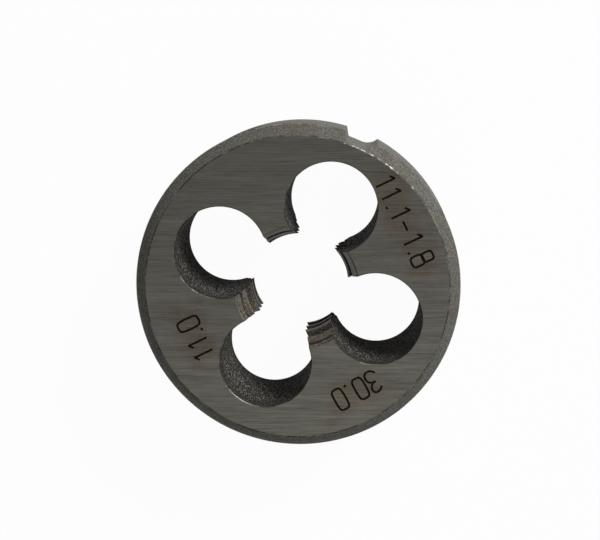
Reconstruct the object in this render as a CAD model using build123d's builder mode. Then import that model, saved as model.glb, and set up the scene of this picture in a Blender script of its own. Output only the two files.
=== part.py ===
"""Round threading die for a 7/16 inch rod at 14 threads per inch.

The die is one solid: a disc of hardened tool steel, turned on its rim and in its bore, drilled
through with four clearance holes, and threaded. The clearance holes break the thread into four
cutting lands, and the lead cones at both ends of the bore make the first teeth of each land cut.
Millimetres and degrees. The origin is the centre of the back face, +Z runs along the bore axis to
the front face, and +Y points at the adjusting notch in the rim.
"""
from build123d import *
from math import ceil, radians, tan
import os

# Disc
OUTER_DIAMETER = 30.0
THICKNESS = 11.0
RIM_CHAMFER = 1.0

# Thread: a 60 degree vee with the crest and root flats of a unified thread
INCH = 25.4
MAJOR_DIAMETER = 7 / 16 * INCH
PITCH = INCH / 14
THREAD_FLANK_ANGLE = 30.0
CREST_FLAT = PITCH / 4
ROOT_FLAT = PITCH / 8
THREAD_START_HEIGHT = 0.13

# Lead cones, wider at the faces than the thread's major diameter
LEAD_CONE_RELIEF = 0.3
LEAD_CONE_ANGLE = 18.0

# Clearance holes, which let the chips out and form the cutting edges. Their circle sits a little
# off the bore's axis, towards the notch, so the lands beside the notch reach further across.
CLEARANCE_HOLES = 4
CLEARANCE_HOLE_DIAMETER = 8.5
CLEARANCE_CIRCLE_DIAMETER = 15.5
CLEARANCE_CIRCLE_OFFSET = 0.25

# Adjusting notch, parallel to the axis, in line with one clearance hole
NOTCH_DEPTH = 0.95
NOTCH_FLOOR_WIDTH = 2.2
NOTCH_FLANK_ANGLE = 30.0
NOTCH_FLOOR_RADIUS = 0.5

# Dimples for the holder's cone-point screws, one behind each land and set off from mid-thickness,
# so that the screws also press the die down on the holder's shoulder
DIMPLE_DIAMETER = 5.0
DIMPLE_TIP_DIAMETER = 0.6
DIMPLE_WALL_ANGLE = 45.0
DIMPLE_OFFSET = 1.0

# How far a cutter runs past the surface that it cuts
OVERSHOOT = 0.1

outer_radius = OUTER_DIAMETER / 2
face_radius = outer_radius - RIM_CHAMFER
thread_height = (PITCH - CREST_FLAT - ROOT_FLAT) / 2 / tan(radians(THREAD_FLANK_ANGLE))
major_radius = MAJOR_DIAMETER / 2
minor_radius = major_radius - thread_height
cone_radius = major_radius + LEAD_CONE_RELIEF / 2
cone_depth = (cone_radius - minor_radius) / tan(radians(LEAD_CONE_ANGLE))
land_angle = 360 / CLEARANCE_HOLES
notch_direction = 90.0

# One length of thread groove: the vee swept along its helix from the middle of one clearance hole
# to the middle of the next. Turned by one land and raised by its share of the pitch, it carries on
# as the next length of the same helix.
vee_inner_radius = minor_radius - OVERSHOOT
vee_inner_width = PITCH - CREST_FLAT + 2 * OVERSHOOT * tan(radians(THREAD_FLANK_ANGLE))
land_rise = PITCH / CLEARANCE_HOLES

with BuildPart() as groove_length:
    with BuildLine():
        helix = Helix(PITCH, land_rise, minor_radius)
    with BuildSketch(Plane.XZ):
        with BuildLine():
            Polyline(
                (vee_inner_radius, -vee_inner_width / 2),
                (major_radius, -ROOT_FLAT / 2),
                (major_radius, ROOT_FLAT / 2),
                (vee_inner_radius, vee_inner_width / 2),
                close=True,
            )
        make_face()
    sweep(path=helix, is_frenet=True)

groove_lengths = CLEARANCE_HOLES * (ceil(THICKNESS / PITCH) + 2)
groove_locations = [
    Location(
        (0, 0, THREAD_START_HEIGHT - PITCH + land_rise * step),
        (0, 0, notch_direction + land_angle * step),
    )
    for step in range(groove_lengths)
]

with BuildPart() as die_body:
    # The turned blank: rim, rim chamfers, bore and both lead cones in one section
    with BuildSketch(Plane.XZ):
        with BuildLine():
            Polyline(
                (minor_radius, cone_depth),
                (cone_radius, 0),
                (face_radius, 0),
                (outer_radius, RIM_CHAMFER),
                (outer_radius, THICKNESS - RIM_CHAMFER),
                (face_radius, THICKNESS),
                (cone_radius, THICKNESS),
                (minor_radius, THICKNESS - cone_depth),
                close=True,
            )
        make_face()
    revolve(axis=Axis.Z)

    # The clearance holes, which leave the four lands
    with BuildSketch(Plane.XY):
        with Locations((0, CLEARANCE_CIRCLE_OFFSET)):
            with PolarLocations(CLEARANCE_CIRCLE_DIAMETER / 2, CLEARANCE_HOLES, notch_direction):
                Circle(CLEARANCE_HOLE_DIAMETER / 2)
    extrude(amount=THICKNESS, mode=Mode.SUBTRACT)

    # The thread, which runs out through both lead cones
    with Locations(groove_locations):
        add(groove_length.part, mode=Mode.SUBTRACT)

    # The adjusting notch
    notch_floor = outer_radius - NOTCH_DEPTH
    notch_mouth = outer_radius + OVERSHOOT
    notch_mouth_width = NOTCH_FLOOR_WIDTH + 2 * (notch_mouth - notch_floor) * tan(radians(NOTCH_FLANK_ANGLE))
    with BuildSketch(Plane.XY):
        with BuildLine():
            Polyline(
                (-NOTCH_FLOOR_WIDTH / 2, notch_floor),
                (NOTCH_FLOOR_WIDTH / 2, notch_floor),
                (notch_mouth_width / 2, notch_mouth),
                (-notch_mouth_width / 2, notch_mouth),
                close=True,
            )
        make_face()
        fillet(vertices().group_by(Axis.Y)[0], NOTCH_FLOOR_RADIUS)
    extrude(amount=THICKNESS, mode=Mode.SUBTRACT)

    # The screw dimples
    dimple_depth = (DIMPLE_DIAMETER - DIMPLE_TIP_DIAMETER) / 2 / tan(radians(DIMPLE_WALL_ANGLE))
    with Locations((0, 0, THICKNESS / 2 + DIMPLE_OFFSET)):
        with PolarLocations(outer_radius, CLEARANCE_HOLES, notch_direction + land_angle / 2):
            Cone(
                DIMPLE_TIP_DIAMETER / 2,
                DIMPLE_DIAMETER / 2,
                dimple_depth,
                rotation=(0, 90, 0),
                align=(Align.CENTER, Align.CENTER, Align.MAX),
                mode=Mode.SUBTRACT,
            )

die_body.part.label = "die_body"

os.makedirs("parts", exist_ok=True)
export_step(die_body.part, "parts/die_body.step")
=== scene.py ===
"""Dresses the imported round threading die: edges, thread, marks, steel finishes, floor and light.

The die is modelled in millimetres with Blender's own tools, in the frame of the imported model, and
brought to metres at the end. The origin is the centre of the back face, +Z runs along the bore to
the front face, and +Y points at the adjusting notch.
"""
import logging
import math
from contextlib import contextmanager
from dataclasses import dataclass, field
from enum import Enum
from typing import Iterable, Iterator, NamedTuple, Sequence

import bmesh
import bpy
from mathutils import Matrix, Vector


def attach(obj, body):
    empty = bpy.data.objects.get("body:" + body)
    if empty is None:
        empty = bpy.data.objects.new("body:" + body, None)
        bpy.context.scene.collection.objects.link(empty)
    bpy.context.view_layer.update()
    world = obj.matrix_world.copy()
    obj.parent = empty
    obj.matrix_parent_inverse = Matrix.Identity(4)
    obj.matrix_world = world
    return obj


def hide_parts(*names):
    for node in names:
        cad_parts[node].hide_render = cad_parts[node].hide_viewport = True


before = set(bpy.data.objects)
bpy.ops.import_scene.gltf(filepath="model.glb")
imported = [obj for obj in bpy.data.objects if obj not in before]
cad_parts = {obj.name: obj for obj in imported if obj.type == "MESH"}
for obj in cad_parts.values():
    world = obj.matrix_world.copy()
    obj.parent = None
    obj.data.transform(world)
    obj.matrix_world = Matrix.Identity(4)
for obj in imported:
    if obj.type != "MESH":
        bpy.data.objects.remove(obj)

LOG = logging.getLogger("threading_die")
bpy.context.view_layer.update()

# A millimetre in metres and an inch in millimetres
MILLIMETRE = 0.001
INCH = 25.4

# Two vertices that lie nearer than this are one, in millimetres
SAME_POINT = 1e-4

Piece = bpy.types.Object
Socket = bpy.types.NodeSocket
Sockets = bpy.types.NodeInputs | bpy.types.NodeOutputs
Section = Sequence[tuple[float, float]]
Stroke = tuple[tuple[float, float], ...]
Colour = tuple[float, float, float, float]
Numbers = tuple[float, float, float]
Feed = Socket | float | Colour | Numbers


class Surface(Enum):
    """The finishes that the die's surfaces have, by the name of their material."""

    GROUND_FACE = "ground_face"
    BLASTED_RIM = "blasted_rim"
    WORN_EDGE = "worn_and_highlit_edge"
    HOLE_WALL = "hole_wall"
    LEAD_CONE = "lead_cone"
    THREAD_FLANK = "thread_flank"
    BURNT_MARK = "burnt_mark"


class Bench:
    """Blender's tools as they are used by hand, on one object at a time."""

    @staticmethod
    def only(piece: Piece) -> None:
        """Selects one object and makes it the active one.

        Args:
            piece: The object to select.
        """
        Bench.clear()
        piece.select_set(True)
        bpy.context.view_layer.objects.active = piece

    @staticmethod
    def clear() -> None:
        """Leaves nothing selected."""
        bpy.ops.object.select_all(action="DESELECT")

    @staticmethod
    @contextmanager
    def editing(piece: Piece) -> Iterator[None]:
        """Keeps a piece in edit mode while a block runs, with all of its mesh selected at first.

        Args:
            piece: The piece to edit.

        Yields:
            Nothing.
        """
        Bench.only(piece)
        bpy.ops.object.mode_set(mode="EDIT")
        bpy.ops.mesh.select_all(action="SELECT")
        yield
        bpy.ops.object.mode_set(mode="OBJECT")

    @staticmethod
    def named(name: str) -> Piece:
        """Names the object that was just added, and its mesh.

        Args:
            name: The piece's name.

        Returns:
            The object.
        """
        piece = bpy.context.object
        piece.name = name
        piece.data.name = name
        return piece

    @staticmethod
    def apply(piece: Piece, modifier: bpy.types.Modifier) -> None:
        """Applies one modifier of a piece."""
        Bench.only(piece)
        bpy.ops.object.modifier_apply(modifier=modifier.name)

    @staticmethod
    def chain(name: str, points: Section) -> Piece:
        """Draws an open chain of edges in the XZ plane by extruding one vertex.

        Args:
            name: The object's name.
            points: Radius and height of each corner.

        Returns:
            The chain, as an object of edges alone.
        """
        Bench.clear()
        bpy.ops.mesh.primitive_plane_add(size=1.0)
        piece = Bench.named(name)
        with Bench.editing(piece):
            bpy.ops.mesh.merge(type="CENTER")
            radius, height = points[0]
            bpy.ops.transform.translate(value=(radius, 0.0, height))
            for (r_0, z_0), (r_1, z_1) in zip(points, points[1:]):
                step = (r_1 - r_0, 0.0, z_1 - z_0)
                bpy.ops.mesh.extrude_region_move(TRANSFORM_OT_translate={"value": step})
        return piece

    @staticmethod
    def lathe(name: str, points: Section, steps: int) -> Piece:
        """Turns a closed body from half of its section.

        Args:
            name: The object's name.
            points: Radius and height along the half section, from axis to axis.
            steps: Facets round the body.

        Returns:
            The turned body, centred on the Z axis.
        """
        piece = Bench.chain(name, points)
        turn = piece.modifiers.new("turn", "SCREW")
        turn.axis = "Z"
        turn.steps = turn.render_steps = steps
        turn.use_merge_vertices = True
        turn.merge_threshold = SAME_POINT
        Bench.apply(piece, turn)
        Bench.outwards(piece)
        return piece

    @staticmethod
    def outwards(piece: Piece) -> None:
        """Merges doubled vertices and points every face outwards.

        Args:
            piece: The closed body to put right.
        """
        with Bench.editing(piece):
            bpy.ops.mesh.remove_doubles(threshold=SAME_POINT)
            bpy.ops.mesh.normals_make_consistent(inside=False)

    @staticmethod
    def copies(piece: Piece, places: Sequence[Matrix]) -> Piece:
        """Repeats a piece, each copy with its own mesh, and joins the copies.

        Args:
            piece: The piece as modelled, which becomes the first copy.
            places: Where each copy goes, from where the piece was modelled.

        Returns:
            The joined object.
        """
        made = [piece]
        for _ in places[1:]:
            twin = piece.copy()
            twin.data = piece.data.copy()
            bpy.context.scene.collection.objects.link(twin)
            made.append(twin)
        for twin, place in zip(made, places):
            twin.data.transform(place)
        return Bench.join(made)

    @staticmethod
    def turns(count: int, first: float = 0.0) -> list[Matrix]:
        """Lists even turns about the Z axis, which start at a share of the first step."""
        return [Matrix.Rotation(math.tau * (step + first) / count, 4, "Z") for step in range(count)]

    @staticmethod
    def join(pieces: Sequence[Piece]) -> Piece:
        """Joins several objects into the first of them.

        Args:
            pieces: The objects to join.

        Returns:
            The first object, which now holds them all.
        """
        first, *others = pieces
        Bench.only(first)
        for piece in others:
            piece.select_set(True)
        bpy.ops.object.join()
        return first

    @staticmethod
    def paint(piece: Piece, surface: Surface, low: float = 0.0, high: float = math.inf) -> None:
        """Gives a finish to the faces whose lean lies between two limits.

        A face's lean is 0 where it stands upright and 1 where it lies level.

        Args:
            piece: The object.
            surface: The finish.
            low: The least lean.
            high: The most lean.
        """
        material = bpy.data.materials[surface.value]
        if material.name not in piece.data.materials:
            piece.data.materials.append(material)
        index = piece.data.materials.find(material.name)
        for face in piece.data.polygons:
            if low <= abs(face.normal.z) <= high:
                face.material_index = index

    @staticmethod
    def cut(body: Piece, cutter: Piece, crossing: bool = False) -> None:
        """Cuts one closed body out of another, and leaves the cutter's finish on the cut.

        Args:
            body: What is cut.
            cutter: What cuts it, which is then thrown away.
            crossing: Whether parts of the cutter run through each other.
        """
        name, mesh = cutter.name, cutter.data
        step = body.modifiers.new(name, "BOOLEAN")
        step.operation = "DIFFERENCE"
        step.solver = "EXACT"
        step.use_self = crossing
        step.material_mode = "TRANSFER"
        step.object = cutter
        Bench.apply(body, step)
        Bench.outwards(body)
        bpy.data.objects.remove(cutter)
        bpy.data.meshes.remove(mesh)
        LOG.info("%s cut into %s: %d faces", name, body.name, len(body.data.polygons))


@dataclass
class DieBlank:
    """The turned disc before anything is cut into it. Sizes in millimetres."""

    diameter: float = 30.0
    thickness: float = 11.0
    chamfer_width: float = 1.0
    chamfer_height: float = 1.0
    edge_break: float = 0.07
    steps: int = 288
    lean_margin: float = 0.05
    level_lean: float = 0.99

    def both_ends(self, low: Section) -> Section:
        """Adds the front end to a half section's back end, as its mirror image."""
        return [*low, *((radius, self.thickness - height) for radius, height in reversed(low))]

    def section(self) -> Section:
        """Lists the half section's corners, with every edge broken by a small land.

        Returns:
            Radius and height of each corner, from the back face to the front face.
        """
        radius = self.diameter / 2
        face = radius - self.chamfer_width
        slope = math.hypot(self.chamfer_width, self.chamfer_height)
        along = Vector((self.chamfer_width, self.chamfer_height)) / slope * self.edge_break
        return self.both_ends([
            (0.0, 0.0),
            (face - self.edge_break, 0.0),
            (face + along.x, along.y),
            (radius - along.x, self.chamfer_height - along.y),
            (radius, self.chamfer_height + self.edge_break),
        ])

    def build(self) -> Piece:
        """Turns the disc, and tells its faces, rim, chamfers and edge breaks by their lean.

        Returns:
            The blank.
        """
        disc = Bench.lathe("threading_die", self.section(), self.steps)
        chamfer = self.chamfer_width / math.hypot(self.chamfer_width, self.chamfer_height)
        margin, level = self.lean_margin, self.level_lean
        Bench.paint(disc, Surface.BLASTED_RIM)
        Bench.paint(disc, Surface.GROUND_FACE, level)
        Bench.paint(disc, Surface.WORN_EDGE, margin, chamfer - margin)
        Bench.paint(disc, Surface.WORN_EDGE, chamfer + margin, level)
        return disc


@dataclass
class ClearanceHoles:
    """The four holes that let the chips out and leave the lands. Sizes in millimetres."""

    count: int = 4
    diameter: float = 8.5
    circle: float = 15.5
    offset: float = 0.25
    mouth_break: float = 0.07
    mouth_lean: float = 0.2
    overrun: float = 1.0
    steps: int = 160

    def build(self, blank: DieBlank) -> Piece:
        """Makes the four drills, each flared where it meets a face.

        Args:
            blank: The disc that the holes go through.

        Returns:
            The cutter.
        """
        radius, flare, past = self.diameter / 2, self.mouth_break, self.overrun
        low = [(0.0, -past), (radius + flare + past, -past), (radius, flare)]
        drill = Bench.lathe("clearance_holes", blank.both_ends(low), self.steps)
        Bench.paint(drill, Surface.HOLE_WALL)
        Bench.paint(drill, Surface.WORN_EDGE, self.mouth_lean)
        centre = Matrix.Translation((0.0, self.offset, 0.0))
        arm = Matrix.Translation((0.0, self.circle / 2, 0.0))
        return Bench.copies(drill, [centre @ turn @ arm for turn in Bench.turns(self.count)])


@dataclass
class CuttingThread:
    """The inside thread, made as the rod that would fill it. Sizes in millimetres."""

    pitch: float = INCH / 14
    major_diameter: float = INCH * 7 / 16
    flank_angle: float = 30.0
    crest_share: float = 1 / 4
    root_share: float = 1 / 8
    start_height: float = 0.13
    spare_turns: int = 4
    overrun: float = 0.9
    steps: int = 160

    @property
    def flank(self) -> float:
        """How much of the pitch one flank of a tooth takes up."""
        return self.pitch * (1 - self.crest_share - self.root_share) / 2

    @property
    def minor_radius(self) -> float:
        """Radius of the bore at the tips of the teeth."""
        return self.major_diameter / 2 - self.flank / math.tan(math.radians(self.flank_angle))

    def build(self, blank: DieBlank) -> Piece:
        """Winds one turn's section up the axis and trims both ends flat.

        Args:
            blank: The disc that the thread runs through.

        Returns:
            The cutter.
        """
        crest, root = self.pitch * self.crest_share, self.pitch * self.root_share
        below = self.spare_turns / 2 * self.pitch
        low = self.start_height - root / 2 - self.flank - crest - below
        outer, inner = self.major_diameter / 2, self.minor_radius
        section = [
            (inner, low),
            (inner, low + crest),
            (outer, low + crest + self.flank),
            (outer, low + crest + self.flank + root),
            (inner, low + self.pitch),
        ]
        rod = Bench.chain("cutting_thread", section)
        rod.data.transform(Matrix.Rotation(math.radians(90), 4, "Z"))
        wind = rod.modifiers.new("wind", "SCREW")
        wind.axis = "Z"
        wind.steps = wind.render_steps = self.steps
        wind.screw_offset = self.pitch
        wind.iterations = math.ceil(blank.thickness / self.pitch) + self.spare_turns
        Bench.apply(rod, wind)
        Bench.outwards(rod)
        for height, upwards in ((-self.overrun, False), (blank.thickness + self.overrun, True)):
            with Bench.editing(rod):
                bpy.ops.mesh.bisect(
                    plane_co=(0.0, 0.0, height),
                    plane_no=(0.0, 0.0, 1.0),
                    use_fill=True,
                    clear_outer=upwards,
                    clear_inner=not upwards,
                )
        Bench.outwards(rod)
        Bench.paint(rod, Surface.THREAD_FLANK)
        return rod


@dataclass
class LeadCones:
    """The cone at each face that makes the first teeth cut little by little. In millimetres."""

    relief: float = 0.3
    angle: float = 18.0
    mouth_break: float = 0.06
    mouth_lean: float = 0.6
    waist_gap: float = 0.4
    overrun: float = 0.8
    steps: int = 256

    def build(self, blank: DieBlank, thread: CuttingThread) -> Piece:
        """Makes both cones as one turned cutter with a waist.

        Args:
            blank: The disc that the cones open into.
            thread: The thread that they relieve.

        Returns:
            The cutter.
        """
        mouth = thread.major_diameter / 2 + self.relief / 2
        waist = thread.minor_radius - self.waist_gap
        slope = math.tan(math.radians(self.angle))
        flare, past = self.mouth_break, self.overrun
        low = [
            (0.0, -past),
            (mouth + flare + past, -past),
            (mouth - flare * slope, flare),
            (waist, (mouth - waist) / slope),
        ]
        cones = Bench.lathe("lead_cones", blank.both_ends(low), self.steps)
        Bench.paint(cones, Surface.LEAD_CONE)
        Bench.paint(cones, Surface.WORN_EDGE, self.mouth_lean)
        return cones


@dataclass
class AdjustingNotch:
    """The vee in the rim that the holder's adjusting screw seats in. Sizes in millimetres."""

    depth: float = 0.95
    floor_width: float = 2.2
    flank_angle: float = 30.0
    sharp_corner: float = 0.2
    round_corner: float = 1.3
    corner_steps: int = 6
    overrun: float = 0.6
    end_overrun: float = 1.0

    def build(self, blank: DieBlank) -> Piece:
        """Shapes the cutter from a cube: tapered, and rounded more in one corner of its floor.

        Args:
            blank: The disc that the notch is cut in.

        Returns:
            The cutter.
        """
        floor, tall = blank.diameter / 2 - self.depth, self.depth + self.overrun
        Bench.clear()
        bpy.ops.mesh.primitive_cube_add(
            size=1.0,
            location=(0.0, floor + tall / 2, blank.thickness / 2),
            scale=(self.floor_width, tall, blank.thickness + 2 * self.end_overrun),
        )
        notch = Bench.named("adjusting_notch")
        bpy.ops.object.transform_apply(location=True, rotation=True, scale=True)
        widening = 1 + 2 * tall * math.tan(math.radians(self.flank_angle)) / self.floor_width
        half_turn = math.tan(math.radians(90 - self.flank_angle) / 2)
        with Bench.editing(notch):
            mesh = bmesh.from_edit_mesh(notch.data)
            for vertex in mesh.verts:
                vertex.select = vertex.co.y > floor + tall / 2
            mesh.select_flush(True)
            bmesh.update_edit_mesh(notch.data)
            bpy.ops.transform.resize(value=(widening, 1.0, 1.0), center_override=(0.0, 0.0, 0.0))
            for side, radius in ((-1, self.sharp_corner), (1, self.round_corner)):
                self.select_corner(notch, side, floor + tall / 2, blank.thickness)
                bpy.ops.mesh.bevel(offset=radius * half_turn, segments=self.corner_steps)
        Bench.outwards(notch)
        Bench.paint(notch, Surface.BLASTED_RIM)
        return notch

    @staticmethod
    def select_corner(notch: Piece, side: int, below: float, longer: float) -> None:
        """Selects the long edge in one corner of the notch's floor.

        Args:
            notch: The cutter, in edit mode.
            side: 1 for the corner on +X, and -1 for the one on -X.
            below: What the edge's ends lie below along Y.
            longer: What the edge is longer than along Z.
        """
        bpy.ops.mesh.select_all(action="DESELECT")
        mesh = bmesh.from_edit_mesh(notch.data)
        for edge in mesh.edges:
            (x_0, y_0, z_0), (x_1, y_1, z_1) = (vertex.co for vertex in edge.verts)
            in_corner = min(x_0 * side, x_1 * side) > 0.0 and max(y_0, y_1) < below
            if in_corner and abs(z_0 - z_1) > longer:
                edge.select_set(True)
        bmesh.update_edit_mesh(notch.data)


@dataclass
class ScrewDimples:
    """The four cones that the holder's clamping screws seat in. Sizes in millimetres."""

    count: int = 4
    diameter: float = 5.0
    tip_diameter: float = 0.6
    offset: float = 1.0
    overrun: float = 0.5
    steps: int = 96

    def build(self, blank: DieBlank) -> Piece:
        """Turns one 90 degree point and sets a copy behind each land.

        Args:
            blank: The disc whose rim gets the dimples.

        Returns:
            The cutter.
        """
        mouth, tip, past = self.diameter / 2, self.tip_diameter / 2, self.overrun
        section = [(0.0, tip - mouth), (tip, tip - mouth), (mouth + past, past), (0.0, past)]
        point = Bench.lathe("screw_dimples", section, self.steps)
        Bench.paint(point, Surface.BLASTED_RIM)
        rim = Matrix.Translation((0.0, blank.diameter / 2, blank.thickness / 2 + self.offset))
        outward = rim @ Matrix.Rotation(math.radians(-90), 4, "X")
        return Bench.copies(point, [turn @ outward for turn in Bench.turns(self.count, 0.5)])


class PlainFigures:
    """Figures of single strokes on a grid 1 wide and 2 high.

    A stroke of five points is an open path, and one of eight points is a closed loop.
    """

    LOOP_POINTS: int = 8
    STROKES: dict[str, tuple[Stroke, ...]] = {
        "0": (
            (
                (0.5, 2.1), (0.0, 2.06), (-0.06, 1.0), (0.0, -0.06),
                (0.5, -0.1), (1.0, -0.06), (1.06, 1.0), (1.0, 2.06),
            ),
        ),
        "1": (
            ((0.6, 0.0), (0.6, 0.5), (0.6, 1.0), (0.6, 1.5), (0.6, 2.0)),
            ((0.62, 1.98), (0.52, 1.9), (0.42, 1.8), (0.31, 1.7), (0.2, 1.6)),
        ),
        "3": (
            ((0.08, 1.72), (0.3, 2.1), (1.12, 2.1), (0.98, 1.1), (0.4, 1.1)),
            ((0.36, 1.07), (1.14, 1.1), (1.16, -0.1), (0.24, -0.12), (0.02, 0.34)),
        ),
        "8": (
            (
                (0.5, 2.1), (0.08, 2.08), (0.04, 1.55), (0.08, 1.04),
                (0.5, 1.02), (0.92, 1.04), (0.96, 1.55), (0.92, 2.08),
            ),
            (
                (0.5, 1.14), (0.02, 1.1), (-0.04, 0.5), (0.02, -0.08),
                (0.5, -0.1), (0.98, -0.08), (1.04, 0.5), (0.98, 1.1),
            ),
        ),
        ".": (((0.12, 0.0), (0.18, 0.03), (0.24, 0.06), (0.3, 0.09), (0.36, 0.12)),),
        "-": (((0.0, 0.9), (0.25, 0.9), (0.5, 0.9), (0.75, 0.9), (1.0, 0.9)),),
    }
    ADVANCE: dict[str, float] = {".": 0.75, "1": 1.3}
    USUAL_ADVANCE: float = 1.5

    @classmethod
    def advance(cls, figure: str) -> float:
        """How far the next figure starts from this one, on the grid."""
        return cls.ADVANCE.get(figure, cls.USUAL_ADVANCE)


@dataclass
class FaceMark:
    """One line of plain figures, burnt into the front face with its tops towards the rim."""

    figures: str
    angle: float
    radius: float
    shift: float = 0.0
    height: float = 1.9
    stroke: float = 0.2
    path_steps: int = 6
    round_steps: int = 2
    bloom_margin: float = 0.6

    @property
    def scale(self) -> float:
        """Millimetres to one square of the figures' grid."""
        return self.height / 2

    @property
    def outward(self) -> Vector:
        """The way that the figures' tops point."""
        return Matrix.Rotation(math.radians(self.angle), 3, "Z") @ Vector((1.0, 0.0, 0.0))

    @property
    def along(self) -> Vector:
        """The way that the line of figures runs."""
        return Vector((self.outward.y, -self.outward.x, 0.0))

    @property
    def length(self) -> float:
        """How long the line of figures is."""
        return sum(PlainFigures.advance(figure) for figure in self.figures) * self.scale

    def bloom(self) -> dict[str, Numbers | float]:
        """Says where the heat's bloom lies on the face.

        Returns:
            Its centre, its reach to each side, and the turn in radians that lays it along local X.
        """
        half_length = self.length / 2 + self.bloom_margin
        half_height = self.height / 2 + self.bloom_margin
        return {
            "centre": tuple(self.outward * self.radius + self.along * self.shift),
            "reach": (half_length, half_height, 1.0),
            "turn": -math.atan2(self.along.y, self.along.x),
        }

    def build(self, blank: DieBlank) -> list[Piece]:
        """Lays a round path along every stroke, half sunk in the face.

        Args:
            blank: The disc that is marked.

        Returns:
            One closed tube for each stroke.
        """
        face = Vector((0.0, 0.0, blank.thickness))
        pen = -self.length / 2 + self.shift
        tubes = []
        for figure in self.figures:
            for stroke in PlainFigures.STROKES[figure]:
                points = [
                    self.along * (pen + x * self.scale)
                    + self.outward * (self.radius + (y - 1.0) * self.scale)
                    + face
                    for x, y in stroke
                ]
                tubes.append(self.tube(points))
            pen += PlainFigures.advance(figure) * self.scale
        return tubes

    def tube(self, points: Sequence[Vector]) -> Piece:
        """Makes one stroke's tube along an open path or a closed loop.

        Args:
            points: The stroke's points.

        Returns:
            The tube as a mesh.
        """
        closed = len(points) == PlainFigures.LOOP_POINTS
        Bench.clear()
        if closed:
            bpy.ops.curve.primitive_nurbs_circle_add()
        else:
            bpy.ops.curve.primitive_nurbs_path_add()
        path = Bench.named("mark_stroke")
        spline = path.data.splines[0]
        for place, point in zip(spline.points, points):
            place.co = (*point, 1.0)
        spline.order_u = 3
        spline.use_endpoint_u = not closed
        spline.use_bezier_u = False
        spline.resolution_u = self.path_steps
        path.data.bevel_depth = self.stroke / 2
        path.data.bevel_resolution = self.round_steps
        path.data.use_fill_caps = True
        bpy.ops.object.convert(target="MESH")
        tube = bpy.context.object
        Bench.outwards(tube)
        Bench.paint(tube, Surface.BURNT_MARK)
        return tube


MARKS = (
    FaceMark("11.1-1.8", angle=48.9, radius=11.5, shift=-1.2),
    FaceMark("30.0", angle=-37.3, radius=11.0, shift=0.1),
    FaceMark("11.0", angle=-131.0, radius=10.5),
)


@dataclass
class ThreadingDie:
    """The whole die: the blank, and everything that is cut into it."""

    blank: DieBlank = field(default_factory=DieBlank)
    thread: CuttingThread = field(default_factory=CuttingThread)
    cones: LeadCones = field(default_factory=LeadCones)
    holes: ClearanceHoles = field(default_factory=ClearanceHoles)
    notch: AdjustingNotch = field(default_factory=AdjustingNotch)
    dimples: ScrewDimples = field(default_factory=ScrewDimples)
    marks: tuple[FaceMark, ...] = MARKS
    smooth_angle: float = 26.0
    flat_lean: float = 0.999

    def build(self) -> Piece:
        """Marks the blank, cuts the die out of it, and brings it to metres.

        Returns:
            The finished piece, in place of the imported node.
        """
        die = self.blank.build()
        marks = Bench.join([tube for mark in self.marks for tube in mark.build(self.blank)])
        marks.name = "face_marks"
        Bench.cut(die, marks, crossing=True)
        Bench.cut(die, self.cones.build(self.blank, self.thread))
        for feature in (self.thread, self.holes, self.notch, self.dimples):
            Bench.cut(die, feature.build(self.blank))
        Bench.only(die)
        die.data.transform(Matrix.Scale(MILLIMETRE, 4))
        bpy.ops.object.shade_smooth_by_angle(angle=math.radians(self.smooth_angle))
        for face in die.data.polygons:
            if abs(face.normal.z) > self.flat_lean:
                face.use_smooth = False
        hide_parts("die_body")
        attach(die, "root")
        return die


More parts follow.
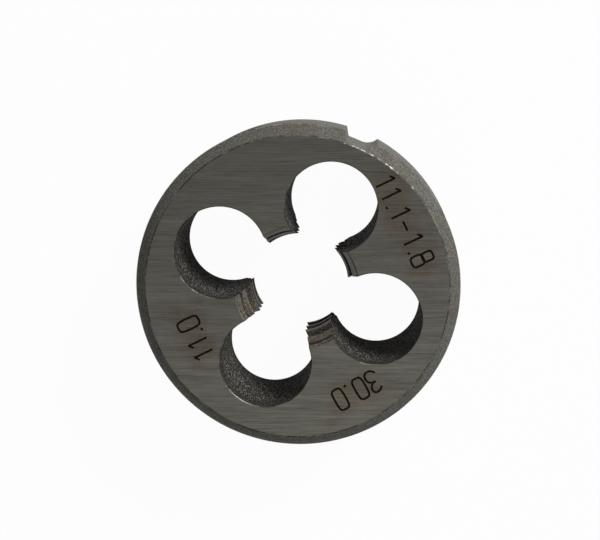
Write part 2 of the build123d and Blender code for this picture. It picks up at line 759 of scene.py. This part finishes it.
class Wiring:
    """Adds nodes to one shader tree and links them."""

    def __init__(self, tree: bpy.types.NodeTree) -> None:
        """Takes the tree that the nodes go into."""
        self.tree = tree

    def node(self, kind: str, label: str, **inputs: Feed) -> bpy.types.Node:
        """Adds a node to the right of the others.

        Args:
            kind: Blender's name for the kind of node.
            label: What the node is for.
            inputs: A source for each input, by its name with underscores for spaces.

        Returns:
            The node.
        """
        node = self.tree.nodes.new(kind)
        node.label = label
        node.location = (190.0 * len(self.tree.nodes), -160.0 * (len(self.tree.nodes) % 3))
        self.fill(node.inputs, **inputs)
        return node

    def feed(self, target: Socket, source: Feed) -> None:
        """Links a socket to another one, or sets its value.

        Args:
            target: The input to fill.
            source: An output, or the value itself.
        """
        if isinstance(source, Socket):
            self.tree.links.new(source, target)
        else:
            target.default_value = source

    def fill(self, targets: Sockets, **sources: Feed) -> None:
        """Feeds each socket that is named, with underscores for the spaces in its name."""
        for name, source in sources.items():
            self.feed(targets[name.replace("_", " ")], source)

    def reckon(self, label: str, operation: str, first: Feed, second: Feed = 0.0) -> Socket:
        """Works out one number from two.

        Args:
            label: What the number is.
            operation: The Math node's operation.
            first: The first number.
            second: The second number.

        Returns:
            The result.
        """
        node = self.node("ShaderNodeMath", label)
        node.operation = operation
        self.feed(node.inputs[0], first)
        self.feed(node.inputs[1], second)
        return node.outputs[0]

    def place(
        self, label: str, operation: str, first: Feed, second: Feed = (0.0, 0.0, 0.0)
    ) -> Socket:
        """Works out one place from two, or its length.

        Args:
            label: What the place is.
            operation: The Vector Math node's operation.
            first: The first place.
            second: The second place.

        Returns:
            The result.
        """
        node = self.node("ShaderNodeVectorMath", label)
        node.operation = operation
        self.feed(node.inputs[0], first)
        self.feed(node.inputs[1], second)
        return node.outputs["Value" if operation == "LENGTH" else "Vector"]

    def axes(self, label: str, place: Feed) -> Sockets:
        """Takes a place apart into X, Y and Z."""
        return self.node("ShaderNodeSeparateXYZ", label, Vector=place).outputs

    def span(
        self,
        label: str,
        value: Feed,
        low: float,
        high: float,
        first: float = 0.0,
        last: float = 1.0,
    ) -> Socket:
        """Turns the part of a value from low to high into first to last, and stops at both ends."""
        limits = {"From_Min": low, "From_Max": high, "To_Min": first, "To_Max": last}
        return self.node("ShaderNodeMapRange", label, Value=value, **limits).outputs["Result"]

    def noise(
        self, label: str, place: Feed, scale: Feed, detail: float = 3.0, roughness: float = 0.6
    ) -> Socket:
        """Adds a noise with so many lumps to the millimetre, mostly between 0.3 and 0.7."""
        layers = {"Scale": scale, "Detail": detail, "Roughness": roughness}
        return self.node("ShaderNodeTexNoise", label, Vector=place, **layers).outputs["Fac"]

    def stretched(self, label: str, place: Feed, scale: Numbers, turn: float = 0.0) -> Socket:
        """Turns a place about the bore's axis, by so many degrees, and scales it."""
        change = {"Rotation": (0.0, 0.0, math.radians(turn)), "Scale": scale}
        return self.node("ShaderNodeMapping", label, Vector=place, **change).outputs["Vector"]

    def mix(self, label: str, share: Feed, first: Feed, second: Feed, way: str = "MIX") -> Socket:
        """Mixes two colours.

        Args:
            label: What the new colour is.
            share: How much of the second colour.
            first: The first colour.
            second: The second colour.
            way: Blender's name for the way of mixing.

        Returns:
            The colour.
        """
        node = self.node("ShaderNodeMix", label)
        node.data_type = "RGBA"
        node.blend_type = way
        colours = [socket for socket in node.inputs if socket.type == "RGBA"]
        for target, source in zip((node.inputs[0], *colours), (share, first, second)):
            self.feed(target, source)
        return next(socket for socket in node.outputs if socket.type == "RGBA")

    def bump(self, label: str, height: Feed, depth: float) -> Socket:
        """Adds a relief whose height of 1 stands for a depth in metres, and gives its normal."""
        return self.node("ShaderNodeBump", label, Height=height, Distance=depth).outputs["Normal"]

    def effect(self, effect: "Effect", **values: Feed) -> Sockets:
        """Places one of the shared effects with this material's own values.

        Args:
            effect: The effect.
            values: A source for each input, by its name with underscores for spaces.

        Returns:
            What the effect puts out.
        """
        node = self.node("ShaderNodeGroup", effect.value)
        node.node_tree = bpy.data.node_groups[effect.value]
        self.fill(node.inputs, **{name.capitalize(): source for name, source in values.items()})
        return node.outputs


class Effect(Enum):
    """The looks that finishes share, by the name of their node group."""

    BLASTED_GRAIN = "blasted_grain"
    GROUND_LINES = "ground_lines"
    TURNED_RINGS = "turned_rings"
    HEAT_TINT = "heat_tint"
    WORN_PATCHES = "worn_and_highlit_patches"


class Effects:
    """Builds each shared effect once. Places are in millimetres."""

    KINDS: dict[str, str] = {
        **dict.fromkeys(("Place", "Centre", "Reach"), "NodeSocketVector"),
        **dict.fromkeys(("Dark", "Light", "Stain", "Speck", "Color"), "NodeSocketColor"),
    }

    @classmethod
    def group(
        cls, effect: Effect, inputs: Sequence[str], outputs: Sequence[str]
    ) -> tuple[Wiring, Sockets, Sockets]:
        """Starts a node group, whose sockets are numbers unless their name is in KINDS.

        Args:
            effect: The effect that it makes.
            inputs: The names of the inputs.
            outputs: The names of the outputs.

        Returns:
            The group's wiring, what comes in, and what goes out.
        """
        tree = bpy.data.node_groups.new(effect.value, "ShaderNodeTree")
        for side, names in (("INPUT", inputs), ("OUTPUT", outputs)):
            for name in names:
                kind = cls.KINDS.get(name, "NodeSocketFloat")
                tree.interface.new_socket(name=name, in_out=side, socket_type=kind)
        wiring = Wiring(tree)
        given = wiring.node("NodeGroupInput", "in").outputs
        return wiring, given, wiring.node("NodeGroupOutput", "out").inputs

    @classmethod
    def blasted_grain(cls) -> None:
        """The grain of blasted or drilled steel: fine lumps, faint stains and bright specks."""
        wiring, given, out = cls.group(
            Effect.BLASTED_GRAIN,
            ("Place", "Dark", "Light", "Stain", "Speck", "Grains", "Speck share"),
            ("Color", "Roughness", "Height"),
        )
        place = given["Place"]
        lumps = wiring.noise("lumps", place, given["Grains"])
        lit = wiring.span("lump shade", lumps, 0.36, 0.64)
        steel = wiring.mix("steel", lit, given["Dark"], given["Light"])
        clouds = wiring.noise("clouds", place, 0.45)
        stained = wiring.span("stain share", clouds, 0.42, 0.62, 0.0, 0.55)
        steel = wiring.mix("stained", stained, steel, given["Stain"])
        closer = wiring.reckon("specks to the millimetre", "MULTIPLY", given["Grains"], 1.35)
        dust = wiring.noise("speck noise", place, closer, detail=2.0, roughness=0.5)
        specks = wiring.span("specks", dust, 0.53, 0.64)
        share = wiring.reckon("speck strength", "MULTIPLY", specks, given["Speck share"])
        specked = wiring.mix("specked", share, steel, given["Speck"])
        dull = wiring.span("dull lumps", lumps, 0.35, 0.65, 0.72, 0.5)
        wiring.fill(out, Color=specked, Roughness=dull, Height=lumps)

    @classmethod
    def ground_lines(cls) -> None:
        """The lines of a grinding wheel along local X: fine lines, broad bands, scratches."""
        wiring, given, out = cls.group(
            Effect.GROUND_LINES, ("Place", "Lines"), ("Shade", "Band", "Scratch", "Height")
        )
        place, lines = given["Place"], given["Lines"]
        fine_place = wiring.stretched("fine place", place, (0.022, 1.0, 0.3))
        fine = wiring.noise("fine lines", fine_place, lines, roughness=0.65)
        band_place = wiring.stretched("band place", place, (0.08, 1.0, 0.3))
        band = wiring.noise("bands", band_place, 0.9)
        scratch_place = wiring.stretched("scratch place", place, (0.03, 1.0, 0.3))
        closer = wiring.reckon("scratches to the millimetre", "MULTIPLY", lines, 1.2)
        scratches = wiring.noise("scratches", scratch_place, closer, detail=1.0, roughness=0.5)
        wiring.fill(
            out,
            Shade=wiring.span("fine shade", fine, 0.34, 0.66),
            Band=wiring.span("band shade", band, 0.36, 0.64),
            Scratch=wiring.span("deep scratches", scratches, 0.6, 0.68),
            Height=fine,
        )

    @classmethod
    def turned_rings(cls) -> None:
        """The rings that a turning or threading tool leaves round the bore's axis."""
        wiring, given, out = cls.group(Effect.TURNED_RINGS, ("Place", "Rings"), ("Shade", "Height"))
        split = wiring.axes("axes", given["Place"])
        around = wiring.reckon("angle", "ARCTAN2", split["Y"], split["X"])
        flat = wiring.stretched("flattened", given["Place"], (1.0, 1.0, 0.0))
        unrolled = wiring.node(
            "ShaderNodeCombineXYZ",
            "unrolled",
            X=wiring.reckon("slow angle", "MULTIPLY", around, 0.35),
            Y=wiring.place("distance from the axis", "LENGTH", flat),
            Z=split["Z"],
        ).outputs["Vector"]
        rings = wiring.noise("rings", unrolled, given["Rings"], detail=2.0)
        wiring.fill(out, Shade=wiring.span("ring shade", rings, 0.36, 0.64), Height=rings)

    @classmethod
    def heat_tint(cls) -> None:
        """The brown bloom that heat leaves round a burnt mark, with a ragged edge."""
        wiring, given, out = cls.group(
            Effect.HEAT_TINT, ("Place", "Centre", "Reach", "Turn"), ("Mask",)
        )
        away = wiring.place("from the centre", "SUBTRACT", given["Place"], given["Centre"])
        turned = wiring.node(
            "ShaderNodeVectorRotate", "in line with the mark", Vector=away, Angle=given["Turn"]
        )
        turned.rotation_type = "Z_AXIS"
        reaches = wiring.place("in reaches", "DIVIDE", turned.outputs["Vector"], given["Reach"])
        sides = wiring.axes("along, across", wiring.place("both sides alike", "ABSOLUTE", reaches))
        far = wiring.reckon("distance", "MAXIMUM", sides["X"], sides["Y"])
        rough = wiring.noise("ragged edge", given["Place"], 0.7, roughness=0.5)
        ragged = wiring.span("ragged", rough, 0.3, 0.7, -0.45, 0.45)
        edge = wiring.reckon("edge", "ADD", far, ragged)
        wiring.fill(out, Mask=wiring.span("bloom", edge, 1.2, 0.5))

    @classmethod
    def worn_and_highlit_patches(cls) -> None:
        """Where an edge is painted bright in broken lengths: partly rubbed wear, partly painted
        highlight.
        """
        wiring, given, out = cls.group(Effect.WORN_PATCHES, ("Place", "Patches"), ("Mask",))
        place = given["Place"]
        patches = wiring.noise("patches", place, given["Patches"], detail=4.0, roughness=0.7)
        wiring.fill(out, Mask=wiring.span("rubbed_highlight", patches, 0.47, 0.58))

    @classmethod
    def build(cls) -> None:
        """Builds them all."""
        cls.blasted_grain()
        cls.ground_lines()
        cls.turned_rings()
        cls.heat_tint()
        cls.worn_and_highlit_patches()


class Look(NamedTuple):
    """What a finish feeds to its shader."""

    colour: Socket
    roughness: Socket
    normal: Socket | None = None


@dataclass(frozen=True)
class SteelFinish:
    """What every finish of the die's steel has."""

    surface: Surface
    metallic: float
    specular: float

    def build(self) -> None:
        """Makes the material, under the surface's name, and dresses it."""
        material = bpy.data.materials.new(self.surface.value)
        material.use_nodes = True
        wiring = Wiring(material.node_tree)
        inputs = material.node_tree.nodes["Principled BSDF"].inputs
        wiring.fill(inputs, Metallic=self.metallic, Specular_IOR_Level=self.specular)
        where = wiring.node("ShaderNodeTexCoord", "place in metres").outputs["Object"]
        place = wiring.stretched("place in millimetres", where, (1 / MILLIMETRE,) * 3)
        look = self.dress(wiring, place)
        wiring.fill(inputs, Base_Color=look.colour, Roughness=look.roughness)
        if look.normal is not None:
            wiring.fill(inputs, Normal=look.normal)

    def dress(self, wiring: Wiring, place: Socket) -> Look:
        """Adds the finish's own nodes over a place in millimetres, and gives what they make."""
        raise NotImplementedError


@dataclass(frozen=True)
class GroundFinish(SteelFinish):
    """A face off the surface grinder, with a brown bloom round each burnt mark."""

    dark: Colour
    light: Colour
    scratch: Colour
    scratch_share: float
    bloom: Colour
    bloom_share: float
    line_turn: float
    lines: float
    line_share: float
    line_depth: float
    roughness: tuple[float, float]
    marks: tuple[FaceMark, ...]

    def dress(self, wiring: Wiring, place: Socket) -> Look:
        """Adds the grinding lines, the scratches and the blooms.

        Args:
            wiring: The material's wiring.
            place: Where on the die, in millimetres.

        Returns:
            What the shader is fed.
        """
        along = wiring.stretched("along the lines", place, (1.0, 1.0, 1.0), -self.line_turn)
        ground = wiring.effect(Effect.GROUND_LINES, place=along, lines=self.lines)
        fine = wiring.reckon("line share", "MULTIPLY", ground["Shade"], self.line_share)
        band = wiring.reckon("band share", "MULTIPLY", ground["Band"], 1 - self.line_share)
        shade = wiring.reckon("lines and bands", "ADD", fine, band)
        steel = wiring.mix("steel", shade, self.dark, self.light)
        share = wiring.reckon("scratch share", "MULTIPLY", ground["Scratch"], self.scratch_share)
        steel = wiring.mix("scratched", share, steel, self.scratch)
        for mark in self.marks:
            halo = wiring.effect(Effect.HEAT_TINT, place=place, **mark.bloom())
            share = wiring.reckon("bloom share", "MULTIPLY", halo["Mask"], self.bloom_share)
            steel = wiring.mix("bloom", share, steel, self.bloom, "MULTIPLY")
        dull = wiring.span("dull lines", ground["Shade"], 0.0, 1.0, *self.roughness)
        return Look(steel, dull, wiring.bump("grinding lines", ground["Height"], self.line_depth))


@dataclass(frozen=True)
class GrainedFinish(SteelFinish):
    """Steel with a grain of lumps, stains and specks."""

    dark: Colour
    light: Colour
    stain: Colour
    speck: Colour
    grains: float
    speck_share: float

    def grain(self, wiring: Wiring, place: Socket) -> Sockets:
        """Adds the grain.

        Args:
            wiring: The material's wiring.
            place: Where on the die, in millimetres.

        Returns:
            The grain's colour, roughness and height.
        """
        names = ("dark", "light", "stain", "speck", "grains", "speck_share")
        values = {name: getattr(self, name) for name in names}
        return wiring.effect(Effect.BLASTED_GRAIN, place=place, **values)


@dataclass(frozen=True)
class BlastedFinish(GrainedFinish):
    """Grit-blasted steel: the rim, its chamfers and the notch."""

    grain_depth: float
    draw: float

    def dress(self, wiring: Wiring, place: Socket) -> Look:
        """Adds the grain, drawn out along the bore.

        Args:
            wiring: The material's wiring.
            place: Where on the die, in millimetres.

        Returns:
            What the shader is fed.
        """
        drawn = wiring.stretched("drawn out along the bore", place, (1.0, 1.0, 1 / self.draw))
        grain = self.grain(wiring, drawn)
        relief = wiring.bump("grain", grain["Height"], self.grain_depth)
        return Look(grain["Color"], grain["Roughness"], relief)


@dataclass(frozen=True)
class DrilledFinish(BlastedFinish):
    """A drilled wall, rough inside, with painted shade that mixes it towards a darker, smoother and
    browner colour near both faces.
    """

    mouth: Colour
    mouth_shade_share: float
    mouth_shade_reach: float
    middle: float

    def dress(self, wiring: Wiring, place: Socket) -> Look:
        """Adds the grain, and the painted shade near the mouths.

        Args:
            wiring: The material's wiring.
            place: Where on the die, in millimetres.

        Returns:
            What the shader is fed.
        """
        look = super().dress(wiring, place)
        # Painted shade: near both faces the wall's colour is mixed towards the darker mouth colour.
        height = wiring.axes("height", place)["Z"]
        above = wiring.reckon("above the middle", "SUBTRACT", height, self.middle)
        off = wiring.reckon("distance from the middle", "ABSOLUTE", above)
        near = wiring.span("near a mouth", off, self.middle - self.mouth_shade_reach, self.middle)
        ragged = wiring.noise("ragged painted shade", place, 2.2, detail=4.0, roughness=0.7)
        patchy = wiring.reckon("ragged mouth", "MULTIPLY", near, ragged)
        share = wiring.span("mouth share", patchy, 0.12, 0.5, 0.0, self.mouth_shade_share)
        return look._replace(colour=wiring.mix("painted shade at the mouths", share, look.colour, self.mouth))


@dataclass(frozen=True)
class TurnedFinish(GrainedFinish):
    """A surface that a tool went round: rings over a fine grain."""

    rings: float
    ring_share: float
    ring_depth: float
    roughness: tuple[float, float]

    def dress(self, wiring: Wiring, place: Socket) -> Look:
        """Adds the grain and the rings.

        Args:
            wiring: The material's wiring.
            place: Where on the die, in millimetres.

        Returns:
            What the shader is fed.
        """
        grain = self.grain(wiring, place)
        turned = wiring.effect(Effect.TURNED_RINGS, place=place, rings=self.rings)
        share = wiring.reckon("ring share", "MULTIPLY", turned["Shade"], self.ring_share)
        steel = wiring.mix("ringed", share, grain["Color"], self.dark)
        dull = wiring.span("dull rings", turned["Shade"], 0.0, 1.0, *self.roughness)
        return Look(steel, dull, wiring.bump("rings", turned["Height"], self.ring_depth))


@dataclass(frozen=True)
class WornAndHighlitFinish(SteelFinish):
    """An edge break: bright in broken lengths, partly as rubbed wear and partly as painted
    highlight, and like its neighbour elsewhere.
    """

    plain: Colour
    rubbed_highlight: Colour
    patches: float
    roughness: tuple[float, float]

    def dress(self, wiring: Wiring, place: Socket) -> Look:
        """Adds the bright lengths, which are rubbed wear and painted highlight.

        Args:
            wiring: The material's wiring.
            place: Where on the die, in millimetres.

        Returns:
            What the shader is fed.
        """
        worn_highlight_mask = wiring.effect(Effect.WORN_PATCHES, place=place, patches=self.patches)["Mask"]
        # The bright lengths are partly rubbed wear and partly painted highlight.
        steel = wiring.mix("rubbed and highlit steel", worn_highlight_mask, self.plain, self.rubbed_highlight)
        return Look(steel, wiring.span("polish", worn_highlight_mask, 0.0, 1.0, *self.roughness))


@dataclass(frozen=True)
class BurntFinish(SteelFinish):
    """The floor of a burnt mark: scorched, with brown where it was hot longest."""

    char: Colour
    brown: Colour
    crust_depth: float
    roughness: tuple[float, float]

    def dress(self, wiring: Wiring, place: Socket) -> Look:
        """Adds the scorch.

        Args:
            wiring: The material's wiring.
            place: Where on the die, in millimetres.

        Returns:
            What the shader is fed.
        """
        scorch = wiring.noise("scorch", place, 3.5)
        share = wiring.span("brown share", scorch, 0.45, 0.65)
        steel = wiring.mix("scorched", share, self.char, self.brown)
        dull = wiring.span("soot", scorch, 0.3, 0.7, *self.roughness)
        return Look(steel, dull, wiring.bump("crust", scorch, self.crust_depth))


FINISHES: tuple[SteelFinish, ...] = (
    GroundFinish(
        Surface.GROUND_FACE,
        metallic=0.7,
        specular=0.4,
        dark=(0.094, 0.09, 0.075, 1.0),
        light=(0.175, 0.168, 0.142, 1.0),
        scratch=(0.05, 0.047, 0.04, 1.0),
        scratch_share=0.34,
        bloom=(0.85, 0.66, 0.55, 1.0),
        bloom_share=0.6,
        line_turn=23.4,
        lines=12.0,
        line_share=0.7,
        line_depth=4e-6,
        roughness=(0.46, 0.36),
        marks=MARKS,
    ),
    BlastedFinish(
        Surface.BLASTED_RIM,
        metallic=0.1,
        specular=0.1,
        dark=(0.065, 0.063, 0.054, 1.0),
        light=(0.145, 0.14, 0.122, 1.0),
        stain=(0.085, 0.077, 0.057, 1.0),
        speck=(0.42, 0.41, 0.37, 1.0),
        grains=7.0,
        speck_share=0.28,
        grain_depth=3e-5,
        draw=1.0,
    ),
    DrilledFinish(
        Surface.HOLE_WALL,
        metallic=0.0,
        specular=0.004,
        dark=(0.003, 0.003, 0.003, 1.0),
        light=(0.065, 0.062, 0.055, 1.0),
        stain=(0.045, 0.035, 0.023, 1.0),
        speck=(0.23, 0.222, 0.205, 1.0),
        grains=6.0,
        speck_share=0.9,
        grain_depth=6e-5,
        draw=3.5,
        # The mouth colour is painted shade near both faces.
        mouth=(0.03, 0.026, 0.021, 1.0),
        mouth_shade_share=0.8,
        mouth_shade_reach=4.5,
        middle=5.5,
    ),
    TurnedFinish(
        Surface.LEAD_CONE,
        metallic=0.1,
        specular=0.05,
        dark=(0.025, 0.021, 0.016, 1.0),
        light=(0.2, 0.168, 0.125, 1.0),
        stain=(0.11, 0.08, 0.054, 1.0),
        speck=(0.5, 0.46, 0.39, 1.0),
        grains=6.0,
        speck_share=0.5,
        rings=4.5,
        ring_share=0.75,
        ring_depth=2e-5,
        roughness=(0.35, 0.55),
    ),
    TurnedFinish(
        Surface.THREAD_FLANK,
        metallic=0.1,
        specular=0.05,
        dark=(0.01, 0.009, 0.008, 1.0),
        light=(0.07, 0.062, 0.05, 1.0),
        stain=(0.05, 0.038, 0.027, 1.0),
        speck=(0.25, 0.23, 0.2, 1.0),
        grains=6.0,
        speck_share=0.5,
        rings=5.0,
        ring_share=0.5,
        ring_depth=2e-5,
        roughness=(0.35, 0.55),
    ),
    WornAndHighlitFinish(
        Surface.WORN_EDGE,
        metallic=0.5,
        specular=0.3,
        plain=(0.055, 0.051, 0.042, 1.0),
        # The rubbed colour is partly wear and partly painted highlight.
        rubbed_highlight=(0.2, 0.19, 0.165, 1.0),
        patches=0.7,
        roughness=(0.6, 0.35),
    ),
    BurntFinish(
        Surface.BURNT_MARK,
        metallic=0.0,
        specular=0.05,
        char=(0.005, 0.004, 0.003, 1.0),
        brown=(0.022, 0.012, 0.008, 1.0),
        crust_depth=1e-5,
        roughness=(0.85, 0.6),
    ),
)


@dataclass(frozen=True)
class SoftLamp:
    """A square soft lamp that looks at the die. Lengths in metres, angles in degrees."""

    name: str
    azimuth: float
    elevation: float
    distance: float
    size: float
    brightness: float

    def build(self) -> None:
        """Hangs the lamp, with the power that lights an upward white surface to its brightness."""
        turn, rise = math.radians(self.azimuth), math.radians(self.elevation)
        level = Vector((math.cos(turn), math.sin(turn), 0.0)) * math.cos(rise)
        away = level + Vector((0.0, 0.0, math.sin(rise)))
        lamp_data = bpy.data.lights.new(self.name, "AREA")
        lamp_data.shape = "SQUARE"
        lamp_data.size = self.size
        lamp_data.energy = self.brightness * math.pi**2 * self.distance**2 / away.z
        lamp = bpy.data.objects.new(self.name, lamp_data)
        bpy.context.scene.collection.objects.link(lamp)
        lamp.location = away * self.distance
        lamp.rotation_euler = away.to_track_quat("Z", "Y").to_euler()


@dataclass
class Studio:
    """The pale floor, the soft light and the camera. Lengths in metres, angles in degrees."""

    floor_size: float = 2.0
    floor_gap: float = 5e-5
    floor_colour: Colour = (0.7, 0.7, 0.7, 1.0)
    floor_roughness: float = 0.9
    floor_glow: float = 0.965
    sky: float = 0.07
    lamps: tuple[SoftLamp, ...] = (
        SoftLamp(
            "window_lamp", azimuth=72.0, elevation=32.0, distance=0.6, size=0.25, brightness=0.6
        ),
        SoftLamp(
            "ceiling_lamp", azimuth=-60.0, elevation=57.0, distance=0.5, size=0.45, brightness=0.25
        ),
    )
    focal_length: float = 82.0953
    sensor_width: float = 36.0
    nearest: float = 0.01
    camera_place: Numbers = (-0.001374, 0.0219882, 0.1343469)
    camera_turn: Numbers = (-8.7758, 3.2335, 22.8429)

    @staticmethod
    def seen_or_mirrored(wiring: Wiring) -> Socket:
        """Tells a ray from the camera, a mirror or glass from the light that falls on things.

        Args:
            wiring: The wiring of the material.

        Returns:
            1 for such a ray, and 0 for any other.
        """
        rays = wiring.node("ShaderNodeLightPath", "rays").outputs
        seen, mirrored = rays["Is Camera Ray"], rays["Is Glossy Ray"]
        direct = wiring.reckon("seen or in a mirror", "MAXIMUM", seen, mirrored)
        return wiring.reckon("or through glass", "MAXIMUM", direct, rays["Is Transmission Ray"])

    def floor(self) -> None:
        """Lays the floor, which looks white and keeps a faint shadow."""
        Bench.clear()
        bpy.ops.mesh.primitive_plane_add(size=self.floor_size, location=(0.0, 0.0, -self.floor_gap))
        floor = Bench.named("floor")
        bpy.ops.object.transform_apply(location=True, rotation=False, scale=False)
        material = bpy.data.materials.new("pale_floor")
        material.use_nodes = True
        nodes = material.node_tree.nodes
        wiring = Wiring(material.node_tree)
        matt = nodes["Principled BSDF"]
        wiring.fill(matt.inputs, Base_Color=self.floor_colour, Roughness=self.floor_roughness)
        white = wiring.node("ShaderNodeEmission", "white backdrop").outputs["Emission"]
        looked_at = self.seen_or_mirrored(wiring)
        glow = wiring.reckon("glow share", "MULTIPLY", looked_at, self.floor_glow)
        blend = wiring.node("ShaderNodeMixShader", "backdrop over the matt floor")
        for target, source in zip(blend.inputs, (glow, matt.outputs["BSDF"], white)):
            wiring.feed(target, source)
        wiring.fill(nodes["Material Output"].inputs, Surface=blend.outputs["Shader"])
        floor.data.materials.append(material)

    def sky_light(self) -> None:
        """Fills the world with faint even light."""
        world = bpy.data.worlds.new("studio")
        bpy.context.scene.world = world
        world.use_nodes = True
        background = world.node_tree.nodes["Background"]
        background.inputs["Color"].default_value = (1.0, 1.0, 1.0, 1.0)
        background.inputs["Strength"].default_value = self.sky

    def camera(self) -> None:
        """Sets the camera up."""
        camera_data = bpy.data.cameras.new("camera")
        camera_data.lens = self.focal_length
        camera_data.sensor_width = self.sensor_width
        camera_data.clip_start = self.nearest
        camera = bpy.data.objects.new("camera", camera_data)
        bpy.context.scene.collection.objects.link(camera)
        camera.location = self.camera_place
        camera.rotation_euler = tuple(math.radians(turn) for turn in self.camera_turn)
        bpy.context.scene.camera = camera

    def build(self) -> None:
        """Sets the floor, sky, lamps and camera."""
        self.floor()
        self.sky_light()
        for lamp in self.lamps:
            lamp.build()
        self.camera()
        bpy.context.scene.view_settings.view_transform = "Standard"


def main() -> None:
    """Builds the finishes, the die and the studio."""
    logging.basicConfig(level=logging.INFO, format="%(message)s")
    Effects.build()
    for finish in FINISHES:
        finish.build()
    die = ThreadingDie().build()
    LOG.info("%s: %d faces", die.name, len(die.data.polygons))
    Studio().build()
    bpy.context.view_layer.update()


if __name__ == "__main__":
    main()
